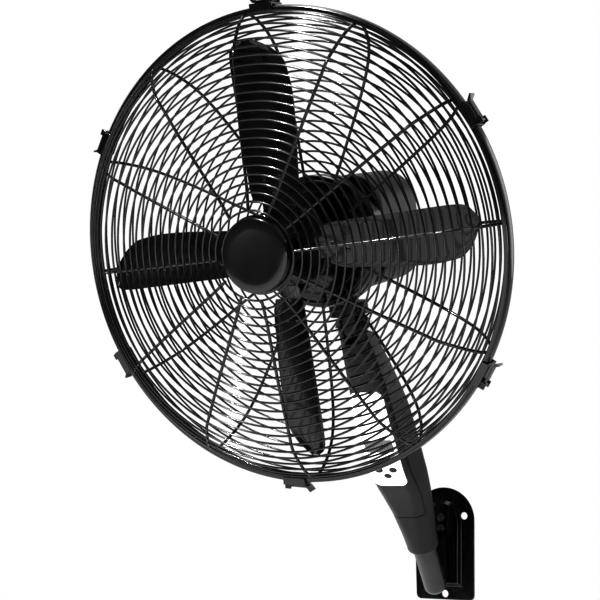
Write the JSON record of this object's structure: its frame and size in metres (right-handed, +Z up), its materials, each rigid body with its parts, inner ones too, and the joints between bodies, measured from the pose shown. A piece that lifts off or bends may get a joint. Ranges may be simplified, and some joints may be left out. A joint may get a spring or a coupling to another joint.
{
  "type": "wall mounted fan",
  "caption": "Oscillating wall fan: wire guard, twisted metal blades, motor on a tilting neck, leaning control arm and arched wall plate.",
  "frame": {"origin": "on the wall plate's back face, on its centre line, in the middle of its top flange", "axes": "+Z up, -Y the way the fan blows, +Y into the wall, +X to the right seen from the front"},
  "size_m": [0.46, 0.4832, 0.5829],
  "materials": {
    "black_enamel": "gloss black enamel",
    "satin_black": "satin black moulded plastic",
    "tube_black": "satin black powder coat",
    "silver_panel": "silver overlay",
    "dark_lens": "gloss smoked lens",
    "button_black": "satin black keys",
    "board_green": "laminate",
    "zinc_steel": "zinc plated",
    "bright_steel": "ground steel",
    "lamination_steel": "stacked laminations",
    "copper_wire": "enamelled copper wire",
    "gear_nylon": "natural nylon"
  },
  "bodies": {
    "wall_arm": {"wall_plate": "black_enamel", "plate_bracket": "black_enamel", "bracket_bolt_1": "zinc_steel", "bracket_bolt_2": "zinc_steel", "foot_tube": "tube_black", "arm_rear_shell": "satin_black", "arm_front_shell": "satin_black", "control_panel": "silver_panel", "display_window": "dark_lens", "circuit_board": "board_green", "shell_screw_1": "zinc_steel", "shell_screw_2": "zinc_steel", "tilt_bolt": "zinc_steel", "tilt_nut": "zinc_steel"},
    "neck_joint": {"neck": "satin_black", "pan_spindle": "bright_steel", "swing_gear": "gear_nylon"},
    "head": {"swing_motor": "zinc_steel", "motor_front_shell": "black_enamel", "motor_rear_shell": "satin_black", "stator": "lamination_steel", "front_winding": "copper_wire", "rear_winding": "copper_wire", "motor_end_shield": "zinc_steel", "front_bearing": "bright_steel", "rear_bearing": "bright_steel", "rear_guard": "black_enamel", "guard_nut": "satin_black", "front_guard": "black_enamel", "centre_cap": "black_enamel", "rim_band": "black_enamel", "clip_1": "black_enamel", "clip_2": "black_enamel", "clip_3": "black_enamel", "clip_4": "black_enamel", "clip_5": "black_enamel", "clip_6": "black_enamel"},
    "wheel": {"rotor": "lamination_steel", "motor_shaft": "bright_steel", "wheel_hub": "black_enamel", "spinner_nut": "satin_black", "blade_1": "black_enamel", "blade_2": "black_enamel", "blade_3": "black_enamel", "blade_4": "black_enamel"},
    "pinion": {"swing_pinion": "gear_nylon"},
    "key_1": {"button_1": "button_black"},
    "key_2": {"button_2": "button_black"},
    "key_3": {"button_3": "button_black"},
    "key_4": {"button_4": "button_black"},
    "key_5": {"button_5": "button_black"},
    "lever_1": {"clip_lever_1": "black_enamel"},
    "lever_2": {"clip_lever_2": "black_enamel"},
    "lever_3": {"clip_lever_3": "black_enamel"},
    "lever_4": {"clip_lever_4": "black_enamel"},
    "lever_5": {"clip_lever_5": "black_enamel"},
    "lever_6": {"clip_lever_6": "black_enamel"}
  },
  "joints": [
    {"name": "tilt", "type": "hinge", "parent": "wall_arm", "child": "neck_joint", "pos_m": [0, -0.23696, 0.17286], "axis": [1, 0, 0], "range_deg": [-27.5, 7.5]},
    {"name": "swing", "type": "hinge", "parent": "neck_joint", "child": "head", "pos_m": [0, -0.25217, 0.19741], "axis": [0, -0.3015, 0.9535], "range_deg": [-40, 40]},
    {"name": "pinion_turn", "type": "hinge", "parent": "head", "child": "pinion", "pos_m": [0, -0.2315, 0.22493], "axis": [0, -0.3015, 0.9535], "range_deg": [-105, 105]},
    {"name": "wheel_spin", "type": "hinge", "parent": "head", "child": "wheel", "pos_m": [0, -0.38769, 0.22797], "axis": [0, -0.9535, -0.3015], "continuous": true},
    {"name": "key_1_press", "type": "slide", "parent": "wall_arm", "child": "key_1", "axis": [0, 0.821, 0.5709], "range_m": [0, 0.001], "stiffness_N_per_m": 250},
    {"name": "key_2_press", "type": "slide", "parent": "wall_arm", "child": "key_2", "axis": [0, 0.821, 0.5709], "range_m": [0, 0.001], "stiffness_N_per_m": 250},
    {"name": "key_3_press", "type": "slide", "parent": "wall_arm", "child": "key_3", "axis": [0, 0.821, 0.5709], "range_m": [0, 0.001], "stiffness_N_per_m": 250},
    {"name": "key_4_press", "type": "slide", "parent": "wall_arm", "child": "key_4", "axis": [0, 0.821, 0.5709], "range_m": [0, 0.001], "stiffness_N_per_m": 250},
    {"name": "key_5_press", "type": "slide", "parent": "wall_arm", "child": "key_5", "axis": [0, 0.821, 0.5709], "range_m": [0, 0.001], "stiffness_N_per_m": 250},
    {"name": "lever_1_open", "type": "hinge", "parent": "head", "child": "lever_1", "pos_m": [0.21651, -0.41514, 0.31477], "axis": [0, 0.9535, 0.3015], "range_deg": [0, 100]},
    {"name": "lever_2_open", "type": "hinge", "parent": "head", "child": "lever_2", "pos_m": [0.02942, -0.45796, 0.45015], "axis": [0, 0.9535, 0.3015], "range_deg": [0, 100]},
    {"name": "lever_3_open", "type": "hinge", "parent": "head", "child": "lever_3", "pos_m": [-0.18709, -0.43051, 0.36335], "axis": [0, 0.9535, 0.3015], "range_deg": [0, 100]},
    {"name": "lever_4_open", "type": "hinge", "parent": "head", "child": "lever_4", "pos_m": [-0.21651, -0.36024, 0.14118], "axis": [0, 0.9535, 0.3015], "range_deg": [0, 100]},
    {"name": "lever_5_open", "type": "hinge", "parent": "head", "child": "lever_5", "pos_m": [-0.02942, -0.31743, 0.0058], "axis": [0, 0.9535, 0.3015], "range_deg": [0, 100]},
    {"name": "lever_6_open", "type": "hinge", "parent": "head", "child": "lever_6", "pos_m": [0.18709, -0.34488, 0.09259], "axis": [0, 0.9535, 0.3015], "range_deg": [0, 100]}
  ],
  "couplings": [
    {"joint": "pinion_turn", "follows": "swing", "ratio": 2.5}
  ]
}
